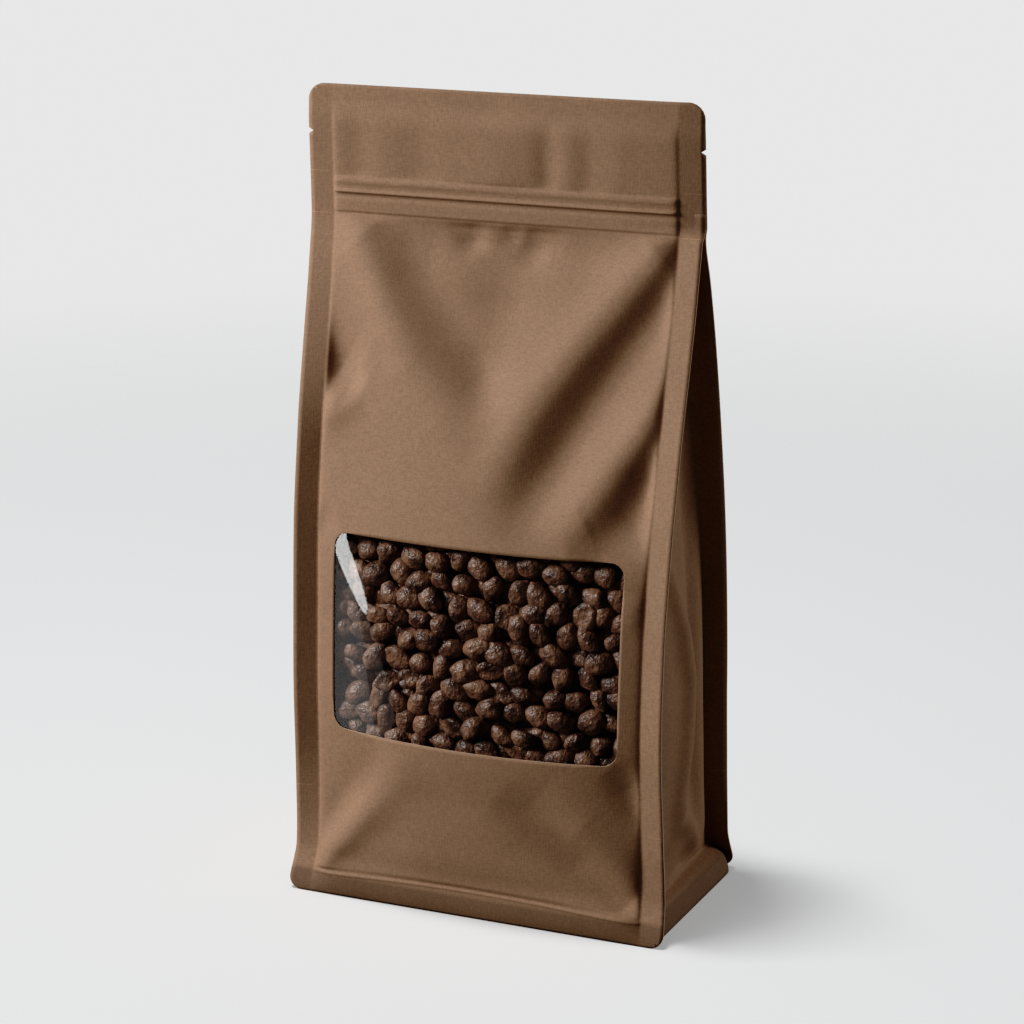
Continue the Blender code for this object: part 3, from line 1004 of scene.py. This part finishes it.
heap = bmesh.new()
count = 0
for layer in range(LAYERS):
    for row in range(ROWS):
        for column in range(COLUMNS):
            stagger = 0.5 * ((row + layer) % 2) - 0.25
            x = (column - (COLUMNS - 1) / 2 + stagger + rng.gauss(0, 0.1)) * COLUMN_PITCH
            x = min(max(x, -REACH), REACH)
            z = (window_low + window_high) / 2 + (row - (ROWS - 1) / 2 + rng.gauss(0, 0.12)) * ROW_PITCH
            behind_film = front_face(x, z).y + PAPER + STAND_OFF * BEAN_THICKNESS
            y = behind_film + layer * LAYER_PITCH + rng.uniform(0.2, 1.5) * MM
            first = len(heap.verts)
            heap.from_mesh(pattern)
            heap.verts.ensure_lookup_table()
            bean_verts = heap.verts[first:]
            size = rng.uniform(0.8, 1.06)
            seed = Vector((rng.uniform(0, 99), rng.uniform(0, 99), rng.uniform(0, 99)))
            for vert in bean_verts:
                lump = noise.noise(vert.co / LUMP + seed)
                vert.co *= size * (1 + LUMPINESS * lump)
            matrix = Matrix.Translation((x, y, z)) @ bean_turn()
            bmesh.ops.transform(heap, matrix=matrix, verts=bean_verts)
            count += 1
bpy.data.meshes.remove(pattern)
print(count, "beans")
beans = finish_piece("roasted_beans", heap, bean_material, "coffee_beans")
smooth = beans.modifiers.new("smooth", "SUBSURF")
smooth.levels = smooth.render_levels = 1

# %% The core behind the beans
CORE_DEPTH = 8 * MM
CORE_THICKNESS = 6 * MM
CORE_LUMP = 5 * MM
CORE_RELIEF = 3.2 * MM
core = flat_sheet(spaced(beans_low[0], (beans_high[0], 90)), spaced(beans_low[2], (beans_high[2], 70)))


def place_core(x, z):
    lump = noise.noise(Vector((x, 0, z)) / CORE_LUMP)
    return front_face(x, z) + Vector((0, CORE_DEPTH + CORE_RELIEF * lump, 0))


form(core, place_core)
face_outwards(core, Vector((0, -1, 0)))
core_piece = finish_piece("bean_core", core, bean_material, "coffee_beans")
give_thickness(core_piece, CORE_THICKNESS)

# %% [markdown]
# ## The studio
#
# The bag stands on a pale floor that runs into a backdrop of the same grey. The floor fades out to the
# backdrop far from the bag, so that no horizon shows. It gives neither diffuse nor mirrored light to
# the bag, which keeps the low light of the lamps on the paper under control. One soft key lamp stands
# low at the left, as one faces the bag, and rakes over the folds. A weaker one, to the right and a
# little behind, lights the folded side. The floor has its own lamp high above, so its shadow can be soft
# and short whatever the key does. A tone curve with a soft foot deepens the darks as a print does.

# %% Stage
BACKDROP = srgb("#E8E8E8")


def stage_floor():
    floor = bmesh.new()
    bmesh.ops.create_circle(floor, cap_ends=True, segments=96, radius=1.4)
    mesh = bpy.data.meshes.new("floor")
    floor.to_mesh(mesh)
    floor.free()
    piece = bpy.data.objects.new("floor", mesh)
    bpy.context.scene.collection.objects.link(piece)
    material, tree = new_material("pale_floor")
    place = add_node(tree, "ShaderNodeTexCoord").outputs["Object"]
    away = add_node(tree, "ShaderNodeVectorMath", {"operation": "LENGTH"}, _0=place).outputs["Value"]
    outwards = {"interpolation_type": "SMOOTHSTEP", "From Min": 0.35, "From Max": 1.1}
    fade = add_node(tree, "ShaderNodeMapRange", outwards, Value=away)
    matt = add_node(tree, "ShaderNodeBsdfDiffuse", {"Color": (0.8, 0.8, 0.8, 1)})
    glow = add_node(tree, "ShaderNodeEmission", {"Color": (0.97, 1, 1.02, 1), "Strength": 0.28})
    lit = add_node(tree, "ShaderNodeAddShader", _0=matt.outputs[0], _1=glow.outputs[0])
    clear = add_node(tree, "ShaderNodeBsdfTransparent")
    mixed = add_node(tree, "ShaderNodeMixShader", _0=fade.outputs[0], _1=lit.outputs[0], _2=clear.outputs[0])
    add_node(tree, "ShaderNodeOutputMaterial", Surface=mixed.outputs[0])
    mesh.materials.append(material)
    piece.visible_diffuse = False
    piece.visible_glossy = False
    return piece


floor = stage_floor()

world = bpy.data.worlds.new("studio")
bpy.context.scene.world = world
world.use_nodes = True
tree = world.node_tree
tree.nodes.clear()
dim = add_node(tree, "ShaderNodeBackground", {"Color": (1, 1, 1, 1), "Strength": 0.11})
plain = add_node(tree, "ShaderNodeBackground", {"Color": BACKDROP, "Strength": 1.0})
seen = add_node(tree, "ShaderNodeLightPath").outputs["Is Camera Ray"]
mixed = add_node(tree, "ShaderNodeMixShader", _0=seen, _1=dim.outputs[0], _2=plain.outputs[0])
add_node(tree, "ShaderNodeOutputWorld", Surface=mixed.outputs[0])

# a studio print's tone curve: straight from the greys up, with a soft foot that deepens the darks
TONE_CURVE = (
    (0.014, 0.0018), (0.022, 0.0048), (0.036, 0.0112), (0.055, 0.027),
    (0.09, 0.063), (0.16, 0.136), (0.3, 0.281),
)
view = bpy.context.scene.view_settings
view.view_transform = "Standard"
view.use_curve_mapping = True
for scene_light, printed in TONE_CURVE:
    view.curve_mapping.curves[3].points.new(scene_light, printed)
view.curve_mapping.update()

floor_only = bpy.data.collections.new("floor_only")
floor_only.objects.link(floor)


def from_around(azimuth, elevation, distance, centre):
    """A place round a centre: azimuth 0 is in front and grows towards -X, the left as one faces the bag."""
    turn, rise = math.radians(azimuth), math.radians(elevation)
    direction = Vector((-math.sin(turn) * math.cos(rise), -math.cos(turn) * math.cos(rise), math.sin(rise)))
    return centre + direction * distance, direction


def add_lamp(name, shape, sizes, power, receivers):
    """A soft lamp with a width and a height, which lights only its receivers."""
    light = bpy.data.lights.new(name, "AREA")
    light.shape = shape
    light.size, light.size_y = sizes
    light.energy = power
    lamp = bpy.data.objects.new(name, light)
    bpy.context.scene.collection.objects.link(lamp)
    lamp.light_linking.receiver_collection = receivers
    return lamp


def softbox(name, azimuth, elevation, distance, side, power, receivers):
    lamp = add_lamp(name, "RECTANGLE", (side, side), power, receivers)
    lamp.location, direction = from_around(azimuth, elevation, distance, Vector((0, 0, TOP / 2)))
    lamp.rotation_euler = direction.to_track_quat("Z", "Y").to_euler()


softbox("key_left", 57, 25, 1.3, 0.45, 21, bag_pieces)
softbox("fill_right", -118, 15, 2.0, 0.8, 13.5, bag_pieces)
softbox("top_floor", 60, 80, 1.8, 0.45, 20, floor_only)

# %% [markdown]
# ## The camera
#
# A long lens from a little under a metre, 22 degrees round to the side and 16 above. That keeps the
# uprights almost parallel, which is how a product is usually shown.

# %% Camera
AIM = Vector((-0.5 * MM, 0, 131.2 * MM))
camera_data = bpy.data.cameras.new("camera")
camera_data.lens = 100.2
camera_data.sensor_width = 36
camera = bpy.data.objects.new("camera", camera_data)
camera.location, direction = from_around(-22.25, 16.11, 949.6 * MM, AIM)
camera.rotation_euler = direction.to_track_quat("Z", "Y").to_euler()
bpy.context.scene.collection.objects.link(camera)
bpy.context.scene.camera = camera

# %% [markdown]
# ## The glints on the film
#
# In a studio, a strip light is placed by looking where its mirror image falls on the film. The same is
# done here: a ray from the camera to a place on the film is mirrored in the film's surface, and the lamp
# stands where that ray goes.

# %% Strip lights that only the film mirrors
film_only = bpy.data.collections.new("film_only")
film_only.objects.link(film_piece)


def mirrored_from(x, z, distance):
    """The place whose mirror image in the film, as the camera sees it, falls on one place of the film."""
    reach = 1 * MM
    here = front_face(x, z)
    across = front_face(x + reach, z) - front_face(x - reach, z)
    upward = front_face(x, z + reach) - front_face(x, z - reach)
    normal = across.cross(upward).normalized()
    ray = (here - camera.location).normalized()
    return here + (ray - 2 * ray.dot(normal) * normal) * distance


def strip_light(name, middle, end, distance, width, power):
    """A long lamp whose mirror image has its middle at one place of the film and its tip at another."""
    centre, tip = mirrored_from(*middle, distance), mirrored_from(*end, distance)
    sizes = (width, 2 * (tip - centre).length)
    lamp = add_lamp(name, "ELLIPSE", sizes, power, film_only)
    out = (centre - front_face(*middle)).normalized()
    along = (tip - centre).normalized()
    side = along.cross(out).normalized()
    turn = Matrix((side, along, side.cross(along))).transposed()
    lamp.matrix_world = Matrix.Translation(centre) @ turn.to_4x4()
    print(name, [round(side / MM) for side in sizes], "mm")


strip_light("streak_strip", (-48.5 * MM, 124 * MM), (-37.5 * MM, 102 * MM), 0.9, 0.065, 0.45)
# two dim panels behind each other fade the haze out towards the middle
strip_light("haze_panel", (-50 * MM, 84 * MM), (-37 * MM, 54 * MM), 0.9, 0.26, 0.3)
strip_light("haze_edge", (-50 * MM, 80 * MM), (-32 * MM, 50 * MM), 0.9, 0.5, 0.3)
